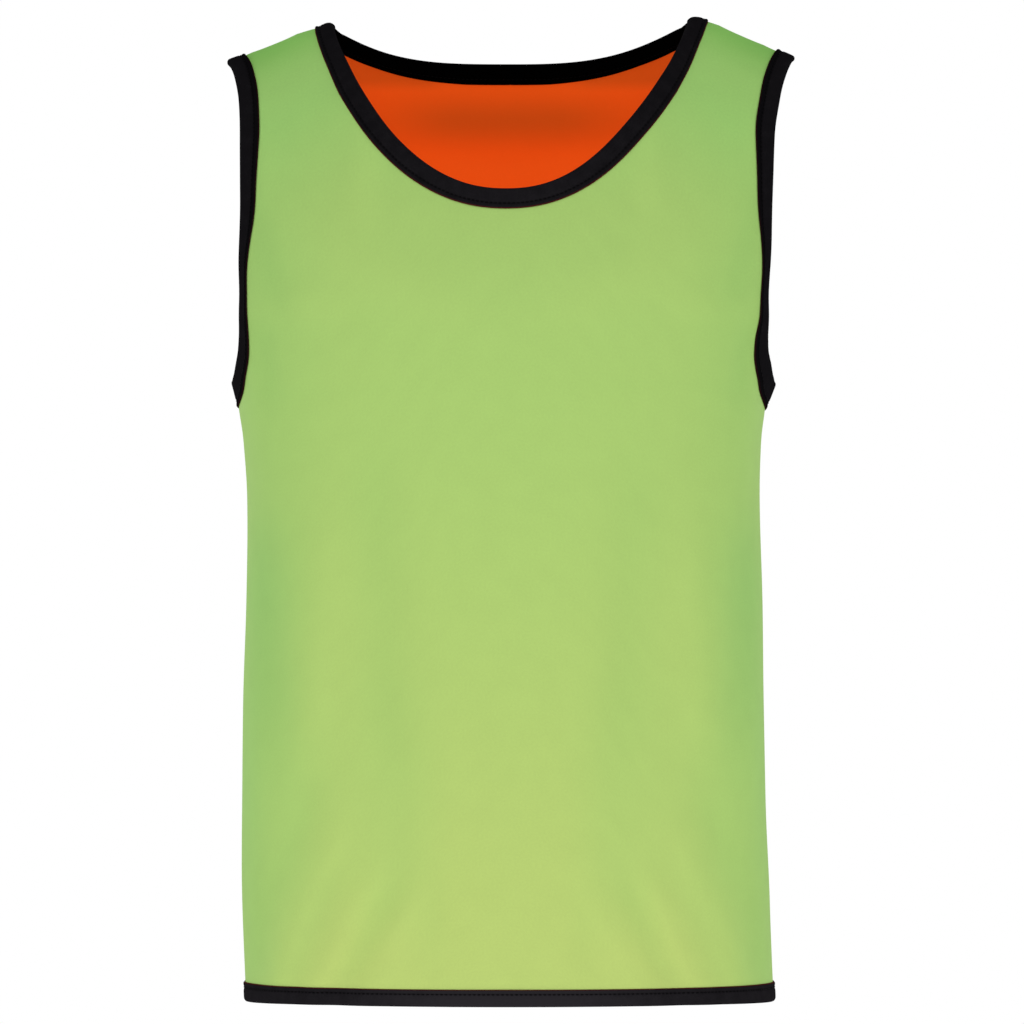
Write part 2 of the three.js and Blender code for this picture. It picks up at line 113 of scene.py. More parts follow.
# The armhole's half width by distance below the shoulder line, and how far its tape flares out
ARMHOLE_COLUMNS = ("below", "half", "flare")
ARMHOLE = np.array([
    (0, 203, 0), (5, 199.7, 0), (14.5, 196, 0), (33, 191.8, 0), (60, 189, 0), (105, 188, 0),
    (148, 187.3, 0), (191, 185.2, 0.7), (215, 185.8, 1.9), (226, 187.3, 3.2), (231.5, 188.1, 3.7),
    (235, 189.1, 4.1), (237, 189.9, 4.2),
])

# How much of the armhole's tape shows in front. It rolls under where the armhole is straight
TAPE_SEEN_COLUMNS = ("below", "width")
TAPE_SEEN = np.array([
    (0, 14.2), (20, 15.2), (45, 16.1), (59, 16.5), (73, 16.0), (87, 15.1), (108, 14.0),
    (137, 11.6), (165, 10.3), (190, 12.2), (207, 16.4), (222, 19.4), (232, 20.2), (240, 20.4),
])


def smooth_column(table, columns, key, value):
    """A smooth curve through two columns of a table. It never overshoots between two rows."""
    at = table[:, columns.index(key)].astype(float)
    values = table[:, columns.index(value)].astype(float)
    slopes = np.diff(values) / np.diff(at)
    before = np.append(slopes[0], slopes)
    after = np.append(slopes, slopes[-1])
    agree = before * after > 0
    tangents = np.where(agree, 2 * before * after / np.where(agree, before + after, 1), 0)

    def curve(position):
        position = np.asarray(position, float)
        i = np.searchsorted(at[1:-1], position)
        span = at[i + 1] - at[i]
        s = np.clip((position - at[i]) / span, 0, 1)
        rise = s * s * (3 - 2 * s)
        bend = tangents[i] * (s - 2 * s**2 + s**3) + tangents[i + 1] * (s**3 - s**2)
        return values[i] * (1 - rise) + values[i + 1] * rise + span * bend

    return curve


half_width, middle_shift, roundness = (
    smooth_column(SECTIONS, SECTION_COLUMNS, "down", name) for name in ("half", "shift", "power")
)
depth = {side: smooth_column(SECTIONS, SECTION_COLUMNS, "down", side) for side in OUTWARD}
shoulder_line = smooth_column(SHOULDER_LINE, SHOULDER_COLUMNS, "out", "up")
armhole_half = smooth_column(ARMHOLE, ARMHOLE_COLUMNS, "below", "half")
armhole_flare = smooth_column(ARMHOLE, ARMHOLE_COLUMNS, "below", "flare")
tape_seen = smooth_column(TAPE_SEEN, TAPE_SEEN_COLUMNS, "below", "width")
hem_depth = depth["front"](HEM_DOWN) + depth["back"](HEM_DOWN)
print("hem", 2 * half_width(HEM_DOWN), "mm wide,", hem_depth, "mm deep")

# %% [markdown]
# ## From a place on the cloth to a point in space
# A place on a panel has two coordinates, as on a map: "girth", the angle round the body from the
# middle of the panel, and "fall", the way down the cloth from the shoulder seam. Each section
# is a superellipse, a rounded box that is fuller than an ellipse, and the shoulders are rounded
# by a second one. numpy works out thousands of places at once, so that fine meshes stay quick.


# %% The form
SECTION_STEPS = 14


def shoulder_height(x):
    tilt = SHOULDER_TILT * np.sin(np.pi * x / (2 * NECK_HALF_WIDTH))
    return shoulder_line(np.abs(x)) + tilt


def reach(angle, exponent):
    """The distance from a superellipse's centre to its line, in the direction of an angle."""
    total = np.abs(np.sin(angle)) ** exponent + np.abs(np.cos(angle)) ** exponent
    return total ** (-1 / exponent)


def form_point(side, girth, fall):
    angle = np.minimum(fall, CAP_ARC) / CAP_ARC * (np.pi / 2)
    cap = reach(angle, CAP_POWER)
    below = CAP_HEIGHT[side] * (1 - cap * np.cos(angle)) + np.maximum(fall - CAP_ARC, 0)
    down = below
    for _ in range(SECTION_STEPS):
        body = reach(girth, roundness(down))
        x = middle_shift(down) + half_width(down) * body * np.sin(girth)
        down = below - shoulder_height(x)
    share = cap * np.sin(angle) * body * np.cos(girth)
    return np.stack([x, OUTWARD[side] * depth[side](down) * share, -down], -1)


def fall_of(side, x, down):
    below = shoulder_height(x) + down
    rest = np.maximum(1 - below / CAP_HEIGHT[side], 0)
    share = np.maximum(1 - rest**CAP_POWER, 0) ** (1 / CAP_POWER)
    on_cap = np.arctan2(share, rest) / (np.pi / 2) * CAP_ARC
    return np.where(rest > 0, on_cap, CAP_ARC + below - CAP_HEIGHT[side])


def place_of(side, x, down):
    """The place, as (girth, fall), of a point that is given in the front view."""
    across = np.clip((x - middle_shift(down)) / half_width(down), -1, 1)
    rest = np.maximum(1 - np.abs(across) ** roundness(down), 0) ** (1 / roundness(down))
    return np.stack([np.arctan2(across, rest), fall_of(side, x, down)], -1)


def form_tangents(side, place):
    turn, step = 0.002, 0.5
    girth, fall = place[..., 0], place[..., 1]
    around = (form_point(side, girth + turn, fall) - form_point(side, girth - turn, fall)) / (2 * turn)
    along = (form_point(side, girth, fall + step) - form_point(side, girth, fall - step)) / (2 * step)
    return around, along


def unit(vectors):
    return vectors / np.linalg.norm(vectors, axis=-1, keepdims=True)


def form_normal(side, place):
    around, along = form_tangents(side, place)
    return unit(np.cross(along, around) * -OUTWARD[side])


print("hem's front point", form_point("front", 0.0, fall_of("front", 1.3, HEM_DOWN)).round(1))

# %% [markdown]
# ## Creases
# The cloth is light and hangs from the chest, so it falls in soft vertical troughs at the waist
# and fans out towards the corners of the hem. A cloth simulation would give other folds each
# time a size changed, so each crease is listed instead: a row holds its line on the
# panel, how far the line bows sideways, its width and its height. A trough's height is negative.

# %% Table of creases
CREASE_COLUMNS = ("x", "down", "to_x", "to_down", "bow", "width", "height")
CREASES = {
    "front": np.array([
        # Long troughs beside the middle, and the ridges outside them
        (-92, 352, -86, 480, -2, 19, -2.5), (90, 356, 85, 470, 2, 19, -2.3),
        (-86, 480, -76, 590, -4, 18, -0.9), (85, 470, 77, 586, 4, 18, -0.8),
        (-131, 398, -138, 490, 2, 16, 1.8), (-138, 490, -159, 585, 4, 12, 0.9),
        (131, 402, 138, 494, -2, 16, 1.7), (138, 494, 158, 588, -4, 12, 0.9),
        # The fans at the hem's corners
        (-90, 634, -121, 692, -2, 9, -2.7), (91, 630, 120, 690, 2, 9, -2.6),
        (-66, 626, -98, 688, 0, 10, 1.2), (66, 630, 97, 688, 0, 10, 1.1),
        (-105, 622, -137, 690, -2, 9, 1.8), (106, 624, 136, 690, 2, 9, 1.7),
        (-128, 622, -150, 676, 1, 6, -0.7), (128, 624, 149, 674, -1, 6, -0.6),
        (-126, 592, -161, 684, 4, 9, 1.6), (126, 596, 162, 686, -4, 9, 1.5),
        (-144, 566, -176, 664, 4, 9, -1.7), (144, 570, 175, 662, -4, 9, -1.6),
        (-52, 636, -54, 680, 0, 9, -1.0), (52, 640, 53, 682, 0, 9, -0.9),
        # A low swell just above the hem's tape
        (-158, 681, 4, 684, 0, 5, 0.9), (4, 684, 158, 682, 0, 5, 0.8),
        # Hollows at the waist, next to the side seams
        (-174, 386, -170, 472, 0, 17, -4.4), (170, 388, 168, 470, 0, 17, -4.4),
        (-174, 488, -172, 548, 0, 14, 1.4), (172, 486, 172, 546, 0, 14, 1.4),
        # Small drags at the neck, the armholes and the chest
        (-100, 86, -101, 108, 0, 13, 2.2), (99, 88, 100, 108, 0, 13, 2.0),
        (-180, 42, -175, 90, 0, 10, 1.6), (178, 44, 173, 88, 0, 10, 1.6),
        (-176, 148, -165, 190, 0, 11, -2.3), (172, 150, 160, 190, 0, 11, -2.2),
        (-166, 208, -146, 206, 0, 13, 1.7), (160, 209, 140, 206, 0, 13, 1.6),
        (-172, 232, -168, 256, 0, 8, -2.2), (168, 232, 164, 256, 0, 8, -2.2),
        (-92, 184, -62, 198, 0, 19, 1.3), (90, 184, 60, 198, 0, 19, 1.3),
        (-184, 266, -70, 262, 3, 5, -0.5), (180, 266, 66, 262, 3, 5, -0.5),
    ]),
    "back": np.array([
        (-62, 330, -70, 560, 3, 24, -4.6), (74, 380, 64, 600, -3, 24, -4.2),
        (4, 400, -6, 640, 4, 26, 3.0),
        (-122, 420, -134, 698, 5, 20, 3.8), (126, 470, 140, 698, -5, 20, 3.6),
        (-66, 600, -92, 698, 0, 16, -3.8), (60, 630, 84, 698, 0, 15, -4.0),
        (-104, 590, -140, 698, 3, 9, -2.2), (100, 606, 134, 698, -3, 9, -2.0),
        (-26, 610, -44, 698, 0, 12, 2.2), (22, 640, 36, 698, 0, 10, 1.8),
        (-150, 200, -112, 232, 3, 14, -2.6), (146, 188, 108, 226, -3, 14, -2.4),
        (-178, 226, -136, 262, 2, 12, 2.2), (172, 220, 134, 256, -2, 12, 2.2),
        # Across the shoulder blades, seen from the inside through the neck
        (-96, 40, -60, 92, 4, 13, 1.6), (90, 38, 58, 84, -4, 13, 1.5),
        (-66, 92, 74, 88, 5, 14, 3.4),
    ]),
}
SEAM_FADE = 45.0
CREASE_END = 0.4


def crease_height(side, point):
    """How far the creases lift each point off the smooth form. They fade towards the seams."""
    height = np.zeros(point.shape[:-1])
    for x, down, to_x, to_down, bow, width, lift in CREASES[side]:
        run = np.array([to_x - x, down - to_down])
        length = np.hypot(*run)
        from_x, from_z = point[..., 0] - x, point[..., 2] + down
        along = (from_x * run[0] + from_z * run[1]) / length
        share = np.clip(along / length, 0, 1)
        across = (from_x * run[1] - from_z * run[0]) / length - bow * 4 * share * (1 - share)
        beyond = (along - share * length) * CREASE_END
        height += lift * np.exp(-(across**2 + beyond**2) / width**2)
    fade = np.clip(np.abs(point[..., 1]) / SEAM_FADE, 0, 1)
    return height * fade * fade * (3 - 2 * fade)


print(sum(len(rows) for rows in CREASES.values()), "creases")

# %% [markdown]
# ## Where the edges run
# A panel ends at its armholes, its neck and its hem. Each of these edges is a curve of places,
# and a second curve lies one tape width inside it, found by walking that way along the cloth.
# "Hand" is 1 on the right half of the garment, seen from the front, and -1 on the left half.


# %% Edge curves
EDGE_SAMPLES = 801
WALK_STEPS = 6


def armhole_edge(side, hand, s):
    below = ARMHOLE_DEPTH[hand] * (1 - np.cos(np.pi * s)) / 2
    inset = BACK_ARMHOLE_INSET * np.sin(np.pi * s) if side == "back" else 0
    half = armhole_half(below / ARMHOLE_DEPTH[hand] * ARMHOLE[-1, 0])
    half = half - inset + ARMHOLE_OUT[hand] * np.sin(np.pi * s)
    down = below - shoulder_height(hand * half)
    place = place_of(side, middle_shift(down) + hand * half, down)
    place[s == 0, 1] = 0
    place[s == 1, 0] = hand * np.pi / 2
    return place


def neck_edge(side, hand, s):
    top = shoulder_height(hand * NECK_HALF_WIDTH + middle_shift(0))
    share = np.cos(np.pi / 2 * s)
    rise = share ** NECK_POWER[side, hand]
    down = NECK_DROP[side] * (1 - rise) - top * rise
    middle = middle_shift(down) + NECK_LEAN[side] * np.sin(np.pi * s)
    half = share * (NECK_HALF_WIDTH - NECK_TURN * np.exp(-(down + top) / NECK_TURN_DROP))
    place = place_of(side, middle + hand * half, down)
    place[s == 0, 1] = 0
    place[s == 1, 0] = 0
    return place


def hem_edge(side, hand, s, down=HEM_DOWN):
    girth = hand * np.pi / 2 * (1 - s)
    down = down + HEM_DIP * np.abs(np.sin(girth)) ** CORNER_POWER
    x = middle_shift(down) + half_width(down) * reach(girth, roundness(down)) * np.sin(girth)
    return np.stack([girth, fall_of(side, x, down)], -1)


def spread(side, edge, hand, shares):
    """Places along an edge, at these shares of its real length."""
    s = np.linspace(0, 1, EDGE_SAMPLES)
    places = edge(side, hand, s)
    steps = np.diff(form_point(side, places[:, 0], places[:, 1]), axis=0)
    length = np.append(0, np.cumsum(np.linalg.norm(steps, axis=1)))
    wanted = np.asarray(shares) * length[-1]
    return np.stack([np.interp(wanted, length, places[:, k]) for k in (0, 1)], -1), length[-1]


def walk(side, start, way):
    """The places a given way off along the cloth."""
    target = form_point(side, start[:, 0], start[:, 1]) + way
    place = start.copy()
    for _ in range(WALK_STEPS):
        miss = target - form_point(side, place[:, 0], place[:, 1])
        around, along = form_tangents(side, place)
        around_square, along_square = (around * around).sum(1), (along * along).sum(1)
        shared = (around * along).sum(1)
        miss_around, miss_along = (miss * around).sum(1), (miss * along).sum(1)
        even = around_square * along_square - shared * shared
        place[:, 0] += (miss_around * along_square - miss_along * shared) / even
        place[:, 1] += (miss_along * around_square - miss_around * shared) / even
    return place


def inset_line(side, places, towards, end_girth, distance):
    """The line at a distance inside an edge. Its ends stay on the seams and the middle line."""
    points = form_point(side, places[:, 0], places[:, 1])
    tangent = np.gradient(points, axis=0)
    tangent[0] = (0, OUTWARD[side], 0)
    tangent[-1] = (-towards, 0, 0) if end_girth == 0 else (0, -OUTWARD[side], 0)
    way = unit(np.cross(form_normal(side, places), tangent))
    way *= np.sign(way[0, 0] * towards) * distance
    inset = walk(side, places, way)
    inset[0, 1] = 0
    inset[-1, 0] = end_girth
    return inset


for side in OUTWARD:
    lengths = [spread(side, edge, 1, [0])[1] for edge in (armhole_edge, neck_edge, hem_edge)]
    print(side, "half armhole, neck and hem:", [round(length) for length in lengths], "mm")

# %% [markdown]
# Under the arm the real tape is stretched by its stitches and stands off sideways, which gives
# the garment its two small points there. The same flare moves the tape and the cloth under it.
# The shoulder seams lift a little over the seam allowances, four layers thick, that lie below,
# and next to the neck the tape rolls over inwards.


# %% The flare under the arms
FLARE_SIZE = {1: 1.35, -1: 0.65}
FLARE_NARROWS = (20.0, 0.15)
FLARE_REACH = 19.0
FLARE_FADE = {1: 1.0, -1: 1.8}
FLARE_BOX = {"out": 120.0, "low": -300.0, "high": -60.0}
FLARE_SAMPLES = 160
flare_lines = []
for side in OUTWARD:
    for hand in (1, -1):
        places, _ = spread(side, armhole_edge, hand, np.linspace(0, 1, FLARE_SAMPLES))
        line = form_point(side, places[:, 0], places[:, 1])
        from_seam = np.minimum(np.abs(line[:, 1]) / FLARE_NARROWS[0], 1)
        flare = armhole_flare(shoulder_height(line[:, 0]) - line[:, 2])
        flare_lines.append((hand, line, flare * (1 - FLARE_NARROWS[1] * from_seam)))


def flared(points):
    """Points near an armhole's edge, moved out sideways as far as the tape flares there."""
    start = points.reshape(-1, 3)
    moved = start.copy()
    level = (start[:, 2] > FLARE_BOX["low"]) & (start[:, 2] < FLARE_BOX["high"])
    for hand, line, flare in flare_lines:
        near = np.flatnonzero(level & (moved[:, 0] * hand > FLARE_BOX["out"]))
        if not len(near):
            continue
        distance = np.linalg.norm(start[near, None] - line[None], axis=2)
        weight = np.clip(1 - distance.min(1) / FLARE_REACH, 0, 1) ** FLARE_FADE[hand]
        shift = hand * FLARE_SIZE[hand] * flare[distance.argmin(1)] * weight
        larger = np.abs(shift) > np.abs(moved[near, 0] - start[near, 0])
        moved[near[larger], 0] = start[near[larger], 0] + shift[larger]
    return moved.reshape(points.shape)


SHOULDER_RIDGE = 2.8
SHOULDER_RIDGE_WIDTH = 10.0
SHOULDER_RIDGE_RUN = (134.0, 150.0, 182.0, 203.0)
SHOULDER_RIDGE_SHARE = (0.0, 1.0, 1.0, 0.0)
SHOULDER_SEAM_END = -60.0
NECK_ROLL = 4.6
NECK_ROLL_START = 133.0
NECK_ROLL_RUN = 7.0
NECK_ROLL_WIDTH = 26.0
NECK_ROLL_LIMIT = 1.3


def cloth_point(side, place, out=0.0):
    """A point of the creased cloth, and the way out of it, at a height over the outer face."""
    normal = form_normal(side, place)
    point = form_point(side, place[..., 0], place[..., 1])
    lift = crease_height(side, point) + out
    ridge = SHOULDER_RIDGE * np.exp(-((point[..., 1] / SHOULDER_RIDGE_WIDTH) ** 2))
    ridge = ridge * np.interp(np.abs(point[..., 0]), SHOULDER_RIDGE_RUN, SHOULDER_RIDGE_SHARE)
    from_middle = np.abs(point[..., 0] - middle_shift(0))
    inwards = np.clip((NECK_ROLL_START - from_middle) / NECK_ROLL_RUN, 0, NECK_ROLL_LIMIT)
    roll = NECK_ROLL * inwards**2 * np.exp(-((point[..., 1] / NECK_ROLL_WIDTH) ** 2))
    lift = lift + np.where(point[..., 2] > SHOULDER_SEAM_END, ridge - roll, 0)
    return point + normal * lift[..., None], normal


# %% [markdown]
# ## Cutting the panels
# Each half of a panel is two flat grids of cells, made by an operator and then bent onto the
# form, much as a cutter's paper pattern is wrapped round a dress form. The upper grid runs from
# the armhole to the neck, and the lower one hangs from it down to the hem. Rows and columns
# stand closer together at the seams, where the cloth turns in to the stitches.

# %% Grids of places
CELL = 5.0
EDGE_MARGIN = 3.0
SIDE_CORNER_DROP = 60.0
MIDDLE_CORNER_DROP = {"front": 56.0, "back": 105.0}
BEND_FADE = 3
ACROSS_LENGTH = 260.0
DOWN_LENGTH = 385.0
ARMHOLE_LENGTH = 285.0
SEAM_STEPS = np.array([0, 0.9, 1.9, 3.2, 5.2])


def shares_of(length, seam_at_start=False, seam_at_end=False):
    """Shares of a length, one for each cell, with finer ones next to a seam."""
    cells = np.linspace(0, 1, max(3, round(length / CELL) + 1))
    near = SEAM_STEPS / length
    if seam_at_start:
        cells = np.append(near, cells[cells > near[-1] + 0.5 / len(cells)])
    if seam_at_end:
        cells = np.append(cells[cells < 1 - near[-1] - 0.5 / len(cells)], 1 - near[::-1])
    return cells


def mix(a, b, share):
    return a + (b - a) * np.asarray(share)[..., None]


def fill(top, bottom, left, right, across, down):
    """A grid of places between four edges. Its bends fade away from the top and the bottom.

    A bend in girth stays below the left edge's own girth, so that no cell folds over.
    """
    grid = mix(left[:, None], right[:, None], across[None, :])
    grid += ((1 - down) ** BEND_FADE)[:, None, None] * (top - mix(top[0], top[-1], across))
    low = down**BEND_FADE
    low_girth = np.minimum(low, left[:, 0] / left[-1, 0])
    weights = np.stack([low_girth, low], -1)[:, None]
    return grid + weights * (bottom - mix(bottom[0], bottom[-1], across))


def half_panel(side, hand):
    seam = hand * np.pi / 2
    down = shares_of(ARMHOLE_LENGTH, seam_at_start=True, seam_at_end=True)
    armhole, _ = spread(side, armhole_edge, hand, down)
    neck, _ = spread(side, neck_edge, hand, down)
    left = inset_line(side, armhole, -hand, seam, EDGE_MARGIN)
    right = inset_line(side, neck, hand, 0, EDGE_MARGIN)
    right[-1, 1] = neck[-1, 1] + EDGE_MARGIN

    side_corner = np.array([seam, left[-1, 1] + TAPE_WIDTH + SIDE_CORNER_DROP])
    middle_corner = np.array([0, right[-1, 1] + TAPE_WIDTH + MIDDLE_CORNER_DROP[side]])
    widths = (TAPE_WIDTH + SIDE_CORNER_DROP, ACROSS_LENGTH, TAPE_WIDTH + MIDDLE_CORNER_DROP[side])
    runs = [shares_of(widths[0]), shares_of(widths[1], seam_at_start=True), shares_of(widths[2])]
    stops = np.cumsum((0,) + widths) / sum(widths)
    corners = (left[-1], side_corner, middle_corner, right[-1])
    across, bottom = [], []
    for k, run in enumerate(runs):
        run = run if k == 2 else run[:-1]
        across.append(stops[k] + (stops[k + 1] - stops[k]) * run)
        bottom.append(mix(corners[k], corners[k + 1], run))
    across, bottom = np.concatenate(across), np.concatenate(bottom)
    upper = fill(mix(left[0], right[0], across), bottom, left, right, across, down)

    hem = hem_edge(side, hand, runs[1], HEM_DOWN - EDGE_MARGIN)
    fall = shares_of(DOWN_LENGTH)
    belt = mix(side_corner, middle_corner, runs[1])
    lower = fill(
        belt, hem, mix(side_corner, hem[0], fall), mix(middle_corner, hem[-1], fall), runs[1], fall
    )
    return upper, lower


print("cells of a half front:", [grid.shape[:2] for grid in half_panel("front", 1)])

# %% [markdown]
# A layer of cloth is one such skin at its own distance from the outer face, and a Solidify
# modifier gives it the knit's thickness. Next to the side and shoulder seams the outer layer
# turns inwards by a millimetre, as sewn cloth does, and leaves the fine groove of the seam.
# The inner layer makes room for it, and the edges of front and back meet in one line.
# The UV map lays the cloth flat in metres, so that the knit has its real size everywhere.

# %% Panels
GIRTH_LENGTH = 0.26
CLOTH_THICKNESS = 0.6
LAYER_DEPTH = {"lime": -0.3, "orange": -2.0}
SEAM_TURN = 0.9
SEAM_TURN_SHARE = {"lime": 1.0, "orange": 0.6}
SEAM_REACH = 2.2
SEAM_CLOSES = 0.5
FACING_SAMPLE = 40
TONE_HEIGHT = 5.0
WELD = 0.02


def add_grid(mesh, uv_layer, corners, maps, outward, tones=None):
    """One flat grid of cells, with its corners moved to where they lie on the garment."""
    tone_layer = mesh.verts.layers.float.get("tone") or mesh.verts.layers.float.new("tone")
    rows, columns = corners.shape[0] - 1, corners.shape[1] - 1
    made = bmesh.ops.create_grid(mesh, x_segments=columns, y_segments=rows, size=0.5)
    spots = {}
    for vert in made["verts"]:
        spots[vert] = (round((vert.co.y + 0.5) * rows), round((vert.co.x + 0.5) * columns))
    faces = {face for vert in spots for face in vert.link_faces}
    for vert, spot in spots.items():
        vert.co = corners[spot] * MM
        vert[tone_layer] = 0.0 if tones is None else tones[spot]
    for face in faces:
        for loop in face.loops:
            loop[uv_layer].uv = maps[spots[loop.vert]]
        face.smooth = True
    some = list(faces)[::FACING_SAMPLE]
    for face in some:
        face.normal_update()
    facing = sum(face.normal.dot(outward(face)) for face in some)
    if facing < 0:
        bmesh.ops.reverse_faces(mesh, faces=list(faces))


def add_object(name, data):
    made = bpy.data.objects.new(name, data)
    bpy.context.scene.collection.objects.link(made)
    return made


def finish_mesh(mesh, name):
    """Welds a piece's grids and gives it an object at the origin."""
    bmesh.ops.remove_doubles(mesh, verts=mesh.verts, dist=WELD * MM)
    data = bpy.data.meshes.new(name)
    mesh.to_mesh(data)
    mesh.free()
    return add_object(name, data)


def sew_panel(name, side, layer):
    mesh = bmesh.new()
    uv_layer = mesh.loops.layers.uv.new("cloth")
    visible = 1 if layer == "lime" else -1

    def outward(face):
        middle = face.calc_center_median()
        return visible * Vector((middle.x, 1.5 * middle.y, 0.02))

    for hand in (1, -1):
        for grid in half_panel(side, hand):
            corners, normal = cloth_point(side, grid, LAYER_DEPTH[layer])
            from_seam = np.abs(corners[..., 1])
            turn = SEAM_TURN * np.exp(-((from_seam / SEAM_REACH) ** 2))
            corners = corners - normal * (turn * SEAM_TURN_SHARE[layer])[..., None]
            corners[..., 1] = np.where(from_seam < SEAM_CLOSES, 0, corners[..., 1])
            # The crease heights go to the lime's finish, which paints light on the ridges and shade in
            # the troughs.
            tones = np.clip(crease_height(side, corners) / TONE_HEIGHT, -1, 1)
            maps = np.stack([grid[..., 0] / (np.pi / 2) * GIRTH_LENGTH, grid[..., 1] * MM], -1)
            add_grid(mesh, uv_layer, flared(corners), maps, outward, tones)
    panel = finish_mesh(mesh, name)
    wall = panel.modifiers.new("cloth thickness", "SOLIDIFY")
    wall.thickness = CLOTH_THICKNESS * MM
    wall.offset = -1
    return panel


panels = {}
for side in OUTWARD:
    for layer in LAYER_DEPTH:
        panels[side, layer] = sew_panel(f"{side}_{layer}_layer", side, layer)
        print(panels[side, layer].name, len(panels[side, layer].data.polygons), "faces")

# %% [markdown]
# ## Folding the tape over the edges
# Binding tape is a flat strip, folded in half over the edge of both layers and sewn through.
# So each binding starts as a flat grid too, as long as its edge, and its cross-section is bent
# round that edge. The row of stitches pulls the tape down into a shallow groove 3.5 mm from
# the tape's edge, and the narrow strip beyond the groove stays puffed up.

# %% Tape sections
STITCH_PITCH = 3.3
STITCH_INSET = 3.5
ROWS_PER_STITCH = 3
TAPE_THICKNESS = 0.35
OUTER_FACE = 0.0
INNER_FACE = -2.3
MIDDLE_FACE = (OUTER_FACE + INNER_FACE) / 2
TAPE_RISE = 1.15
PROFILE_STEPS = np.array([0, 0.35, 0.9, 1.6, 2.3, 2.9, 3.5, 4.1, 4.9, 6.2, 8.0, 9.9])
FOLD_DEPTH = 2.2
FOLD_POINTS = 7
GROOVE_DEPTH = 0.8
GROOVE_WIDTH = 1.1
HOLE_SHARE = 0.28
EDGE_ROLL = 0.3
EDGE_ROLL_WIDTH = 0.55
# Slow waves along the tape, each with its height, run and start
TAPE_WAVES = ((0.10, 17.3, 0.0), (0.08, 7.1, 1.3), (0.05, 4.3, 0.0))


def tape_profile(width):
    """The tape's cross-section: how far in from the fold each point lies, and its height."""
    from_fold = width - PROFILE_STEPS
    leaf_in = np.append(from_fold[from_fold > FOLD_DEPTH + 0.4], FOLD_DEPTH)
    turn = np.linspace(0, np.pi, FOLD_POINTS + 2)[1:-1]
    half = (OUTER_FACE - INNER_FACE) / 2 + TAPE_RISE
    fold_in = FOLD_DEPTH - FOLD_DEPTH * np.sin(turn)
    fold_out = MIDDLE_FACE + half * np.cos(turn)
    leaf_out = np.full(len(leaf_in), OUTER_FACE + TAPE_RISE)
    inner_out = np.full(len(leaf_in), INNER_FACE - TAPE_RISE)
    into = np.concatenate([leaf_in, fold_in, leaf_in[::-1]])
    out = np.concatenate([leaf_out, fold_out, inner_out])
    return into, out


def tape_height(into, out, width, along):
    """The height of each point, with the groove, the puffed strip and the rolled edge."""
    towards = np.where(out > MIDDLE_FACE, 1.0, -1.0)
    from_stitch = into - (width - STITCH_INSET)
    hole = 0.5 + 0.5 * np.cos(2 * np.pi * along / STITCH_PITCH)
    depth_here = (1 - HOLE_SHARE + HOLE_SHARE * hole) * GROOVE_DEPTH
    groove = depth_here * np.exp(-((from_stitch / GROOVE_WIDTH) ** 2))
    roll = (TAPE_RISE - EDGE_ROLL) * np.exp(-(((width - into) / EDGE_ROLL_WIDTH) ** 2))
    slow = sum(height * np.sin(along / run + start) for height, run, start in TAPE_WAVES)
    fade = np.clip((width - into) / 2.0, 0, 1) * np.clip((into - 1.0) / 3.0, 0, 1)
    return out + towards * (slow * fade - groove - roll)


ARMHOLE_RUNS = {hand: [("front", hand, False), ("back", hand, True)] for hand in (1, -1)}
ACROSS_RUNS = [("front", 1, False), ("front", -1, True), ("back", -1, False), ("back", 1, True)]


def tape_ring(edge, width, runs, line_inset):
    """Every section of one binding: its points in space, and the length along the ring."""
    into, out = tape_profile(width)
    points, normals = [], []
    for side, hand, backwards in runs:
        _, length = spread(side, edge, hand, [0])
        cells = max(8, round(length / STITCH_PITCH * ROWS_PER_STITCH))
        line, _ = spread(side, edge, hand, np.linspace(0, 1, cells + 1))
        inner = line_inset(side, hand, line)
        share = np.broadcast_to(into / width, (cells + 1, len(into)))
        places = mix(line[:, None], inner[:, None], share)
        base, normal = cloth_point(side, places)
        if backwards:
            base, normal = base[::-1], normal[::-1]
        start = 0 if not points else 1
        points.append(base[start:])
        normals.append(normal[start:])
    base, normal = np.concatenate(points), np.concatenate(normals)
    steps = np.linalg.norm(np.diff(base[:, 0], axis=0), axis=1)
    along = np.append(0, np.cumsum(steps))
    count = round(along[-1] / STITCH_PITCH)
    along *= count * STITCH_PITCH / along[-1]
    height = tape_height(into[None], out[None], width, along[:, None])
    ring = flared(base) + normal * height[..., None]
    ring[-1] = ring[0]
    return {
        "ring": ring, "normal": normal, "along": along,
        "into": into, "out": out, "width": width, "count": count,
    }


def sew_tape(name, made):
    mesh = bmesh.new()
    uv_layer = mesh.loops.layers.uv.new("cloth")
    ring, along, into = made["ring"], made["along"], made["into"]
    flat = np.append(0, np.cumsum(np.hypot(np.diff(into), np.diff(made["out"]))))
    maps = np.stack(np.broadcast_arrays(along[:, None], flat[None]), -1) * MM
    middles = ring.mean(1) * MM

    def outward(face):
        centre = face.calc_center_median()
        nearest = ((middles - np.array(centre)) ** 2).sum(1).argmin()
        return centre - Vector(middles[nearest])

    add_grid(mesh, uv_layer, ring, maps, outward)
    tape = finish_mesh(mesh, name)
    wall = tape.modifiers.new("tape thickness", "SOLIDIFY")
    wall.thickness = TAPE_THICKNESS * MM
    wall.offset = -1
    return tape


def armhole_inset(side, hand, line):
    point = form_point(side, line[:, 0], line[:, 1])
    below = shoulder_height(point[:, 0]) - point[:, 2]
    width = tape_seen(below)
    if side == "back":
        width = np.interp(below, (below[-1] - BACK_TAPE_WIDENS, below[-1]), (TAPE_WIDTH, width[-1]))
    return inset_line(side, line, -hand, hand * np.pi / 2, width[:, None])


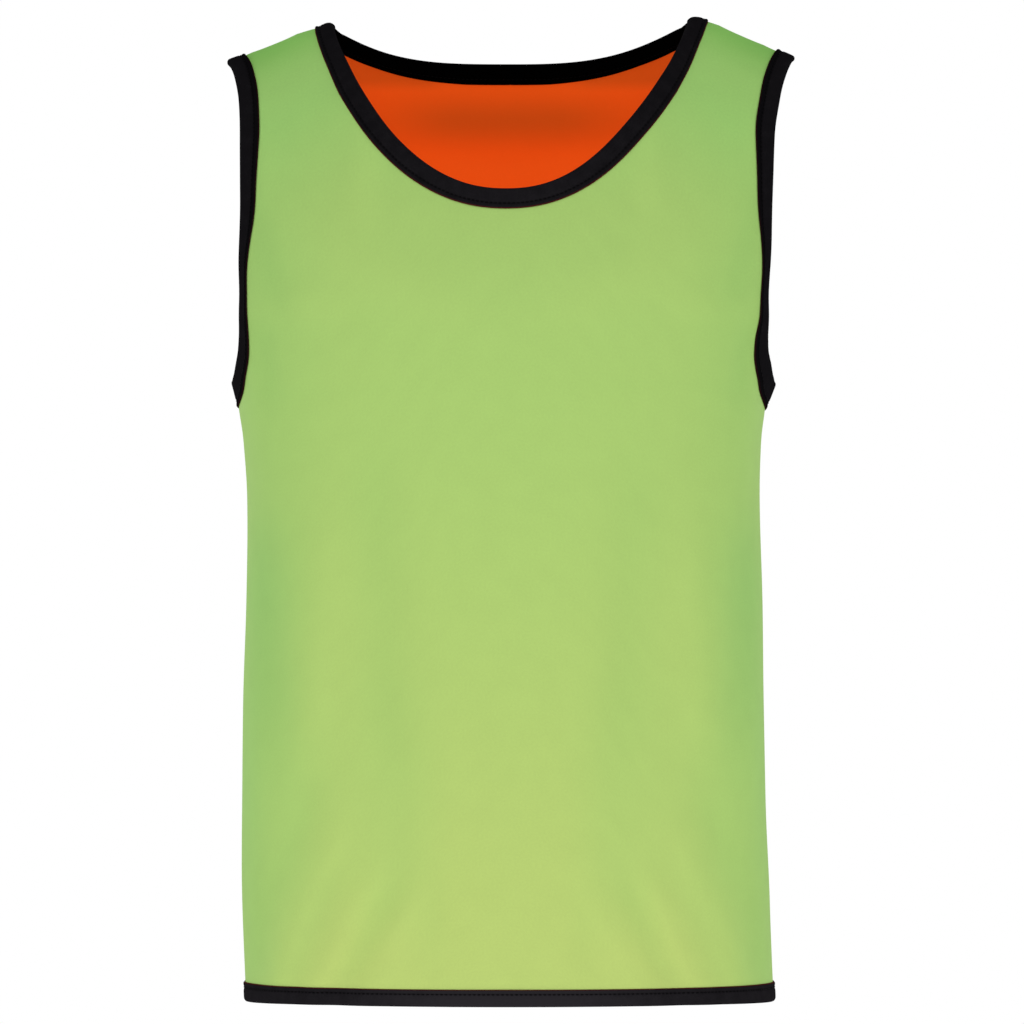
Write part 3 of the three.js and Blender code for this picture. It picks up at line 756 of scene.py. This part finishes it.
def neck_inset(side, hand, line):
    point = form_point(side, line[:, 0], line[:, 1])
    widths = (NECK_TAPE_WIDTH[side], NECK_TAPE_AT_SHOULDER[side])
    width = np.interp(np.abs(point[:, 0]), NECK_TAPE_NARROWS[side], widths)
    return inset_line(side, line, hand, 0, width[:, None])


def hem_inset(side, hand, line):
    girth = line[:, 0]
    width = HEM_TAPE_WIDTH + HEM_TAPE_WIDENS * np.abs(np.sin(girth)) ** CORNER_POWER
    return hem_edge(side, hand, 1 - girth / (hand * np.pi / 2), HEM_DOWN - width)


rings = {
    "neck_tape": tape_ring(neck_edge, TAPE_WIDTH, ACROSS_RUNS, neck_inset),
    "armhole_tape_left": tape_ring(armhole_edge, TAPE_WIDTH, ARMHOLE_RUNS[-1], armhole_inset),
    "armhole_tape_right": tape_ring(armhole_edge, TAPE_WIDTH, ARMHOLE_RUNS[1], armhole_inset),
    "hem_tape": tape_ring(hem_edge, HEM_TAPE_WIDTH, ACROSS_RUNS, hem_inset),
}
tapes = {}
for name, made in rings.items():
    tapes[name] = sew_tape(name, made)
    print(name, round(made["along"][-1]), "mm long,", made["count"], "stitches")

# %% [markdown]
# ## Stitches
# One row of lockstitch runs round each binding. Black thread on black tape shows only as a row
# of short dashes, a little darker than the tape. Each dash is a small stretched ball, copied
# along the groove on the outer and the inner leaf, and all dashes of one binding are one mesh.

# %% Lockstitch
STITCH_LENGTH = 2.2
THREAD = 0.6
THREAD_SINK = 0.05
THREAD_SIDES = 6
THREAD_RINGS = 4


def one_stitch():
    """The corners and faces of one dash, along X. A uvsphere's poles lie on Z, so it is turned."""
    ball = bmesh.new()
    bmesh.ops.create_uvsphere(ball, u_segments=THREAD_SIDES, v_segments=THREAD_RINGS, radius=1.0)
    bmesh.ops.rotate(ball, verts=ball.verts, matrix=Matrix.Rotation(math.pi / 2, 3, "Y"))
    bmesh.ops.scale(ball, verts=ball.verts, vec=(STITCH_LENGTH / 2, THREAD / 2, THREAD / 2))
    corners = np.array([vert.co for vert in ball.verts])
    faces = [[vert.index for vert in face.verts] for face in ball.faces]
    ball.free()
    return corners, faces


dash_corners, dash_faces = one_stitch()


def along_ring(made, column, lengths):
    """Points, and the way out of the cloth, at lengths along one line of a tape."""
    found = []
    for values in (made["ring"][:, column], made["normal"][:, column]):
        found.append(np.stack([np.interp(lengths, made["along"], axis) for axis in values.T], -1))
    return found[0], unit(found[1])


def stitch_row(made, leaf):
    """The corners of every dash on one leaf of a tape."""
    on_leaf = (made["out"] > MIDDLE_FACE) == (leaf == "outer")
    columns = np.flatnonzero(on_leaf)
    column = columns[np.abs(made["into"][columns] - (made["width"] - STITCH_INSET)).argmin()]
    places = (np.arange(made["count"]) + 0.5) * STITCH_PITCH
    at, up = along_ring(made, column, places)
    up = up if leaf == "outer" else -up
    ahead, _ = along_ring(made, column, places + STITCH_LENGTH / 2)
    behind, _ = along_ring(made, column, places - STITCH_LENGTH / 2)
    run = unit(ahead - behind)
    side = unit(np.cross(up, run))
    axes = np.stack([run, side, np.cross(run, side)], 1)
    at = at + axes[:, 2] * (THREAD / 2 - THREAD_SINK)
    return at[:, None] + dash_corners @ axes


def sew_stitches(name, made):
    corners = np.concatenate([stitch_row(made, leaf) for leaf in ("outer", "inner")]) * MM
    each = len(dash_corners)
    faces = [[k * each + i for i in face] for k in range(len(corners)) for face in dash_faces]
    data = bpy.data.meshes.new(name)
    data.from_pydata(corners.reshape(-1, 3).tolist(), [], faces)
    data.shade_smooth()
    return add_object(name, data)


stitches = {name: sew_stitches(name.replace("tape", "stitches"), made) for name, made in rings.items()}
print(sum(len(piece.data.polygons) for piece in stitches.values()), "faces of thread")

# %% [markdown]
# ## Finishes
# Each finish is a small tree of nodes. To keep shader maths readable, one class wraps an output
# socket, so that sums and products of patterns are written as plain Python.


# %% A class for sockets
class Wire:
    """An output socket. Python's signs between wires and numbers add Math nodes."""

    def __init__(self, tree, socket=None):
        self.tree = tree
        self.socket = socket

    def node(self, kind, settings=None, inputs=None, output=0):
        made = self.tree.nodes.new(kind)
        for name, value in (settings or {}).items():
            setattr(made, name, value)
        for name, value in (inputs or {}).items():
            if isinstance(value, Wire):
                self.tree.links.new(value.socket, made.inputs[name])
            else:
                made.inputs[name].default_value = value
        return Wire(self.tree, made.outputs[output] if made.outputs else None)

    def feed(self, shader, name):
        self.tree.links.new(self.socket, shader.inputs[name])

    def axis(self, k):
        return self.node("ShaderNodeSeparateXYZ", inputs={0: self}, output=k)

    def maths(self, operation, *values):
        return self.node("ShaderNodeMath", {"operation": operation}, dict(enumerate(values)))

    def __add__(self, other):
        return self.maths("ADD", self, other)

    def __sub__(self, other):
        return self.maths("SUBTRACT", self, other)

    def __rsub__(self, other):
        return self.maths("SUBTRACT", other, self)

    def __mul__(self, other):
        if self.socket.type == "RGBA":
            return self.node(
                "ShaderNodeVectorMath", {"operation": "SCALE"}, {0: self, "Scale": other}
            )
        return self.maths("MULTIPLY", self, other)

    __radd__ = __add__
    __rmul__ = __mul__

    def sine(self):
        return self.maths("SINE", self)

    def absolute(self):
        return self.maths("ABSOLUTE", self)

    def between(self, low, high):
        """0 below low, 1 above high, and smooth in between."""
        return self.node(
            "ShaderNodeMapRange",
            {"interpolation_type": "SMOOTHSTEP"},
            {"Value": self, "From Min": low, "From Max": high, "To Min": 0.0, "To Max": 1.0},
        )


def mix_colour(share, first, second):
    """Blends two colours, each a wire or a tuple. The numbers are the Mix node's own sockets."""
    return share.node(
        "ShaderNodeMix", {"data_type": "RGBA"}, {0: share, 6: first, 7: second}, output=2
    )


def new_finish(name, settings):
    """A material with its constant values set, and a wire to start its patterns from."""
    finish = bpy.data.materials.new(name)
    finish.use_nodes = True
    shader = finish.node_tree.nodes["Principled BSDF"]
    for socket, value in settings.items():
        shader.inputs[socket].default_value = value
    return finish, shader, Wire(finish.node_tree)


# %% [markdown]
# ## Knit
# The panels are fine polyester jersey. Seen close, it is columns of small V-shaped loops, less
# than a millimetre wide. Modelling every loop would take millions of faces, and from a step
# away the loops only soften the surface. So the loops are a bump pattern in the cloth's own
# flat coordinates, and a slow unevenness of the yarn shifts the colour a little. Light and shade
# are painted into the lime: it is painted yellower and brighter lower down and on the crease
# ridges, and greener and darker at the shoulders, the sides and in the crease troughs. The orange
# is given a weak glow of its own, which is painted light that keeps the inside bright. It also has
# painted shade in the soft fold between the shoulder blades and just under the back neck's tape.

# %% Knit materials
# The lime's colour in painted shade, in painted light, and in the painted shade on top of the
# shoulders.
LIME_IN_PAINTED_SHADE = (0.315, 0.560, 0.151, 1)
LIME_IN_PAINTED_LIGHT = (0.446, 0.573, 0.157, 1)
LIME_IN_SHOULDER_SHADE = (0.238, 0.535, 0.112, 1)
ORANGE = (0.53, 0.064, 0.0035, 1)
# The orange's colour in painted shade.
ORANGE_IN_PAINTED_SHADE = (0.38, 0.054, 0.0033, 1)
# The orange's glow, which is painted light, in full and in painted shade.
ORANGE_PAINTED_GLOW = (1.0, 0.106, 0.0055, 1)
ORANGE_PAINTED_GLOW_IN_SHADE = (0.58, 0.082, 0.0050, 1)
PAINTED_GLOW_STRENGTH = 0.335
# Where the orange's painted shade lies: the soft fold across the back, and just under the back neck's
# tape.
FOLD_TOP = (0.043, 0.068)
FOLD_BOTTOM = (0.068, 0.094)
FOLD_END = (0.03, 0.125)
TAPE_SHADE = (0.038, 0.049)
TAPE_SHADE_STARTS = (0.040, 0.062)
# Spans of height and of distance from the middle over which the lime's painted light and shade change.
SHOULDER_PAINTED_SHADE = (0.015, 0.090)
SHOULDER_PAINTED_LIGHT = (0.03, 0.15)
BODY_PAINTED_LIGHT = (0.20, 0.80)
SIDE_PAINTED_SHADE = (0.110, 0.185)
PAINTED_RIM_SHADE_SPAN = (0.150, 0.190)
FLANK_PAINTED_SHADE = (0.030, 0.080)
FLANK_ENDS = (0.150, 0.175)
WAIST = (0.33, 0.42)
SKIRT = (0.42, 0.56)
SKIRT_ENDS = (0.60, 0.68)
LOOP_WIDTH = 0.95
LOOP_HEIGHT = 0.8
LOOP_RELIEF = 0.05
# How strongly each place of the lime is painted yellower in light and greener in shade.
PAINTED_LIGHT_SHARES = {"shoulders": 0.42, "body": 0.66, "crease": 0.15, "sides": 0.20, "waist": 0.28,
          "flanks": 0.16, "rim": 0.25}
CREASE_PAINTED_LIGHT = 0.05
PAINTED_RIM_DARKENING = 0.04
FOLD_PAINTED_SHADE = 0.8
TAPE_SHADE_SHARE = 0.65


def knit_pattern(start):
    """The height of the loops, from 0 to 1, in the cloth's flat coordinates."""
    flat = start.node("ShaderNodeUVMap", {"uv_map": "cloth"})
    across, down = flat.axis(0), flat.axis(1)
    wobble = yarn_noise(start, flat, 160.0, 2.0)
    column = across * (math.pi / (LOOP_WIDTH * MM)) + wobble * 1.4
    rib = column.sine().absolute()
    slant = rib * 2.2
    loop = (down * (2 * math.pi / (LOOP_HEIGHT * MM)) + slant + wobble * 1.8).sine()
    return flat, rib * 0.65 + loop * 0.175 + 0.175


def yarn_noise(start, flat, scale, detail):
    values = {"Vector": flat, "Scale": scale, "Detail": detail}
    return start.node("ShaderNodeTexNoise", {"noise_dimensions": "2D"}, values)


def object_axes(start):
    """The distance from the middle plane, and the height, from the piece's own coordinates."""
    where = start.node("ShaderNodeTexCoord", output=3)
    return where.axis(0).absolute(), where.axis(2)


def knit_finish(name, sheen):
    """The parts that both colours share: the loops, the yarn's unevenness and the gloss."""
    settings = {"Sheen Weight": sheen, "Sheen Roughness": 0.45, "Specular IOR Level": 0.08}
    finish, shader, start = new_finish(name, settings)
    flat, loops = knit_pattern(start)
    mottle = yarn_noise(start, flat, 55.0, 3.0)
    grain = yarn_noise(start, flat, 700.0, 3.0)
    (grain * 0.12 + 0.68).feed(shader, "Roughness")
    relief = {"Height": loops * 0.6 + grain * 0.4, "Strength": 0.25, "Distance": LOOP_RELIEF * MM}
    start.node("ShaderNodeBump", None, relief).feed(shader, "Normal")
    evenness = (mottle - 0.5) * 0.05 + (grain - 0.5) * 0.10 + 1.0
    return finish, shader, start, flat, evenness


def lime_finish():
    finish, shader, start, flat, evenness = knit_finish("lime knit", 0.01)
    aside, height = object_axes(start)
    drop = height * -1.0
    crease = start.node("ShaderNodeAttribute", {"attribute_name": "tone"}, output=2)
    rim = aside.between(*PAINTED_RIM_SHADE_SPAN)
    flank = aside.between(*FLANK_PAINTED_SHADE) * (1 - aside.between(*FLANK_ENDS))
    skirt = drop.between(*SKIRT)
    # Painted light and shade: the base colour is painted yellower lower down and on crease ridges,
    # where light falls full, and greener at the top of the shoulders, at the sides, on the skirt's
    # flanks and at its rim, where the cloth turns away from the light.
    lime_painted_light = drop.between(*SHOULDER_PAINTED_LIGHT) * PAINTED_LIGHT_SHARES["shoulders"]
    lime_painted_light = lime_painted_light + drop.between(*BODY_PAINTED_LIGHT) * PAINTED_LIGHT_SHARES["body"] + crease * PAINTED_LIGHT_SHARES["crease"]
    painted_side_shade = drop.between(*WAIST) * PAINTED_LIGHT_SHARES["waist"] + PAINTED_LIGHT_SHARES["sides"]
    lime_painted_light = lime_painted_light - aside.between(*SIDE_PAINTED_SHADE) * painted_side_shade
    lime_painted_light = lime_painted_light - flank * skirt * (1 - drop.between(*SKIRT_ENDS)) * PAINTED_LIGHT_SHARES["flanks"]
    lime_painted_light = lime_painted_light - rim * skirt * PAINTED_LIGHT_SHARES["rim"]
    colour = mix_colour(lime_painted_light, LIME_IN_PAINTED_SHADE, LIME_IN_PAINTED_LIGHT)
    # Painted shade along the top of the shoulders, which turn up away from the front lights.
    colour = mix_colour(1 - flat.axis(1).between(*SHOULDER_PAINTED_SHADE), colour, LIME_IN_SHOULDER_SHADE)
    # Painted light on the crease ridges, and painted shade in the troughs and along the rim of the
    # sides.
    lightness = evenness + crease * CREASE_PAINTED_LIGHT - rim * PAINTED_RIM_DARKENING
    (colour * lightness).feed(shader, "Base Color")
    return finish


def orange_finish():
    finish, shader, start, _, evenness = knit_finish("orange knit", 0.02)
    aside, height = object_axes(start)
    below = height * -1.0
    # Painted shade of the fold between the shoulder blades and under the tape's lower edge.
    fold = below.between(*FOLD_TOP) * (1 - below.between(*FOLD_BOTTOM))
    under_tape = (1 - below.between(*TAPE_SHADE)) * aside.between(*TAPE_SHADE_STARTS)
    shade = fold * (1 - aside.between(*FOLD_END)) * FOLD_PAINTED_SHADE + under_tape * TAPE_SHADE_SHARE
    mix_colour(shade, ORANGE, ORANGE_IN_PAINTED_SHADE).feed(shader, "Base Color")
    # Painted light: the cloth glows weakly, so the inside stays bright where little lamp light
    # reaches.
    painted_glow = mix_colour(shade, ORANGE_PAINTED_GLOW, ORANGE_PAINTED_GLOW_IN_SHADE)
    (painted_glow * evenness).feed(shader, "Emission Color")
    shader.inputs["Emission Strength"].default_value = PAINTED_GLOW_STRENGTH
    return finish


lime_knit = lime_finish()
orange_knit = orange_finish()

# %% [markdown]
# ## Black tape and thread
# The tape is a soft black knit. A hair-thin line of dark red-brown runs along its sewn edge,
# where it meets the lime cloth. Light and shade are painted into the tape: it is painted paler
# towards the middle and the hem, along with random patches of the yarn, painted darker on the
# margin beyond the stitches and in the stitch groove, and painted pure black on the inner leaf.
# The tape's UV map runs along the strip and across it from that edge, so the line, the darker
# margin and the dashes of the stitches are masks on it.

# %% Tape and thread materials
# The tape's black, and its paler colour in painted light and in random patches of the yarn.
TAPE_BLACK = (0.0062, 0.0056, 0.0066, 1)
TAPE_PALE = (0.0200, 0.0180, 0.0210, 1)
# The black of the painted shade on the margin and in the stitch groove.
TAPE_PAINTED_SHADE_BLACK = (0.0026, 0.0023, 0.0028, 1)
MARGIN = (0.0031, 0.0040)
MARGIN_PAINTED_SHADE = {"armhole": 0.75, "edge": 0.12}
SEWN_EDGE_SHARE = {"armhole": 0.25, "edge": 1.0}
GROOVE_STARTS = (0.0027, 0.0033)
GROOVE_ENDS = (0.0037, 0.0044)
# The inner leaf's painted shade, pure black.
INNER_LEAF_PAINTED_SHADE = (0.0003, 0.0003, 0.0003, 1)
SEWN_EDGE_BROWN = (0.060, 0.009, 0.008, 1)
SEWN_EDGE_LINE = (0.0004, 0.0008)
THREAD_BLACK = (0.0012, 0.0011, 0.0013, 1)
THREAD_WORN = (0.0030, 0.0028, 0.0032, 1)
INNER_LEAF = (0.0150, 0.0170)
PAINTED_LIGHT_MIDDLE = (0.0, 0.15)
PAINTED_LIGHT_LOW = (0.40, 0.70)
DASH = (-0.5, 0.1)
DASH_PAINTED_SHADE = 0.65
GROOVE_PAINTED_SHADE = 0.1
RIB_PITCH = 0.7
RIB_RELIEF = 0.05


def tape_finish(kind):
    settings = {"Sheen Weight": 0.002, "Sheen Roughness": 0.5, "Specular IOR Level": 0.0}
    finish, shader, start = new_finish(f"black {kind} tape", settings)
    flat = start.node("ShaderNodeUVMap", {"uv_map": "cloth"})
    along, across = flat.axis(0), flat.axis(1)
    fuzz = yarn_noise(start, flat, 900.0, 4.0)
    patches = yarn_noise(start, flat, 120.0, 3.0)
    aside, height = object_axes(start)
    middle = 1 - aside.between(*PAINTED_LIGHT_MIDDLE)
    low = (height * -1.0).between(*PAINTED_LIGHT_LOW)
    # Painted light: paler towards the middle and the hem, mixed with random patches of the yarn.
    pale = middle * 0.28 + low * 0.36 + middle * low * 0.55 + (fuzz + patches - 1.0) * 0.4
    colour = mix_colour(pale, TAPE_BLACK, TAPE_PALE)
    # Painted shade on the puffed margin beyond the stitches.
    margin = 1 - across.between(*MARGIN)
    colour = mix_colour(margin * MARGIN_PAINTED_SHADE[kind], colour, TAPE_PAINTED_SHADE_BLACK)
    # Painted shade in the stitch groove, darkest in short dashes at the stitches.
    groove = across.between(*GROOVE_STARTS) * (1 - across.between(*GROOVE_ENDS))
    dash = (along * (2 * math.pi / (STITCH_PITCH * MM)) - math.pi / 2).sine().between(*DASH)
    colour = mix_colour(groove * (dash * DASH_PAINTED_SHADE + GROOVE_PAINTED_SHADE), colour, TAPE_PAINTED_SHADE_BLACK)
    # Painted shade: the inner leaf is painted pure black.
    colour = mix_colour(across.between(*INNER_LEAF), colour, INNER_LEAF_PAINTED_SHADE)
    # A hair-thin dark red-brown line along the tape's sewn edge.
    edge = (1 - across.between(*SEWN_EDGE_LINE)) * SEWN_EDGE_SHARE[kind]
    mix_colour(edge, colour, SEWN_EDGE_BROWN).feed(shader, "Base Color")
    (fuzz * 0.15 + 0.68).feed(shader, "Roughness")
    ribs = (along * (2 * math.pi / (RIB_PITCH * MM)) + fuzz * 2.0).sine() * 0.5 + fuzz * 0.5
    relief = {"Height": ribs, "Strength": 0.3, "Distance": RIB_RELIEF * MM}
    start.node("ShaderNodeBump", None, relief).feed(shader, "Normal")
    return finish


def thread_finish():
    finish, shader, start = new_finish("black thread", {"Roughness": 0.6, "Specular IOR Level": 0.03})
    where = start.node("ShaderNodeTexCoord", output=3)
    twist = start.node("ShaderNodeTexNoise", None, {"Vector": where, "Scale": 2500.0, "Detail": 2.0})
    mix_colour(twist, THREAD_BLACK, THREAD_WORN).feed(shader, "Base Color")
    return finish


black_tapes = {kind: tape_finish(kind) for kind in MARGIN_PAINTED_SHADE}
black_thread = thread_finish()

# %% [markdown]
# ## Which piece stands for what
# Every piece rides on the model's one body. A panel or a tape stands for the solid of the same
# place, which is hidden, and gets one of the finishes made above; the stitches get the thread.

for (side, layer), panel in panels.items():
    panel.data.materials.append(lime_knit if layer == "lime" else orange_knit)
    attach(panel, "root")
    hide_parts(f"{side}_{'outer' if layer == 'lime' else 'inner'}")

for name, tape in tapes.items():
    node = name.replace("tape", "binding")
    tape.data.materials.append(black_tapes["armhole" if "armhole" in name else "edge"])
    stitches[name].data.materials.append(black_thread)
    for piece in (tape, stitches[name]):
        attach(piece, "root")
    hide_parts(node)
    length = rings[name]["along"][-1] * MM

# %% [markdown]
# ## Camera, floor and light
# The photograph was taken square on to the front, from far away, so a long lens six metres off
# keeps its flat perspective. Two soft lights stand to the left and right in front, a low one
# brightens the cloth towards the hem, and a weak one above fills in the front. Two more lights
# behind and a pale sky light the back.

# %% Stage
CAMERA_DISTANCE = 6.0
CAMERA_SIDE = 0.0029
CAMERA_HEIGHT = -0.351
FRAME_WIDTH = 0.732
SENSOR = 36.0

camera_data = bpy.data.cameras.new("camera")
camera_data.sensor_width = SENSOR
camera_data.lens = SENSOR * CAMERA_DISTANCE / FRAME_WIDTH
camera_data.clip_end = 100
camera = add_object("camera", camera_data)
camera.location = (CAMERA_SIDE, -CAMERA_DISTANCE, CAMERA_HEIGHT)
camera.rotation_euler = (math.pi / 2, 0, 0)
bpy.context.scene.camera = camera

FLOOR_HEIGHT = -1.45
FLOOR_RADIUS = 11.0
floor_mesh = bmesh.new()
bmesh.ops.create_circle(floor_mesh, cap_ends=True, segments=96, radius=FLOOR_RADIUS)
bmesh.ops.translate(floor_mesh, verts=floor_mesh.verts, vec=(0, 0, FLOOR_HEIGHT))
floor = finish_mesh(floor_mesh, "floor")
floor_paint, floor_shader, _ = new_finish(
    "pale floor", {"Base Color": (0.86, 0.86, 0.85, 1), "Roughness": 0.8}
)
floor.data.materials.append(floor_paint)


def soft_light(name, place, aim, width, height, power):
    data = bpy.data.lights.new(name, "AREA")
    data.shape = "RECTANGLE"
    data.size, data.size_y = width, height
    data.energy = power
    light = add_object(name, data)
    light.location = place
    way = Vector(aim) - Vector(place)
    light.rotation_euler = way.to_track_quat("-Z", "Y").to_euler()


soft_light("front left", (-3.0, -1.7, -0.6), (0, 0, -0.4), 1.6, 1.6, 26)
soft_light("front right", (3.0, -1.7, -0.6), (0, 0, -0.4), 1.6, 1.6, 26)
soft_light("low front", (0.0, -1.7, -1.25), (0, 0, -0.65), 1.6, 0.5, 8.4)
soft_light("top fill", (0.0, -2.0, 2.0), (0, 0, -0.2), 2.4, 2.4, 20)
soft_light("back left", (-2.6, 2.4, 0.4), (0, 0, -0.35), 1.8, 1.8, 34)
soft_light("back right", (2.6, 2.4, 0.2), (0, 0, -0.35), 1.8, 1.8, 28)

WORLD_LIGHT = 0.48
WORLD_SEEN = 1.0
world = bpy.data.worlds.new("white studio")
world.use_nodes = True
studio = Wire(world.node_tree)
world.node_tree.nodes.clear()
seen = studio.node("ShaderNodeLightPath")
level = seen * (WORLD_SEEN - WORLD_LIGHT) + WORLD_LIGHT
sky = studio.node("ShaderNodeBackground", None, {"Color": (1, 1, 1, 1), "Strength": level})
studio.node("ShaderNodeOutputWorld", None, {"Surface": sky})
bpy.context.scene.world = world
bpy.context.scene.view_settings.view_transform = "Standard"

# %% [markdown]
# ## The last update
# The view layer is brought up to date at the end. The dressed garment has to keep the frame's
# size.

# %% Update the view layer
bpy.context.view_layer.update()
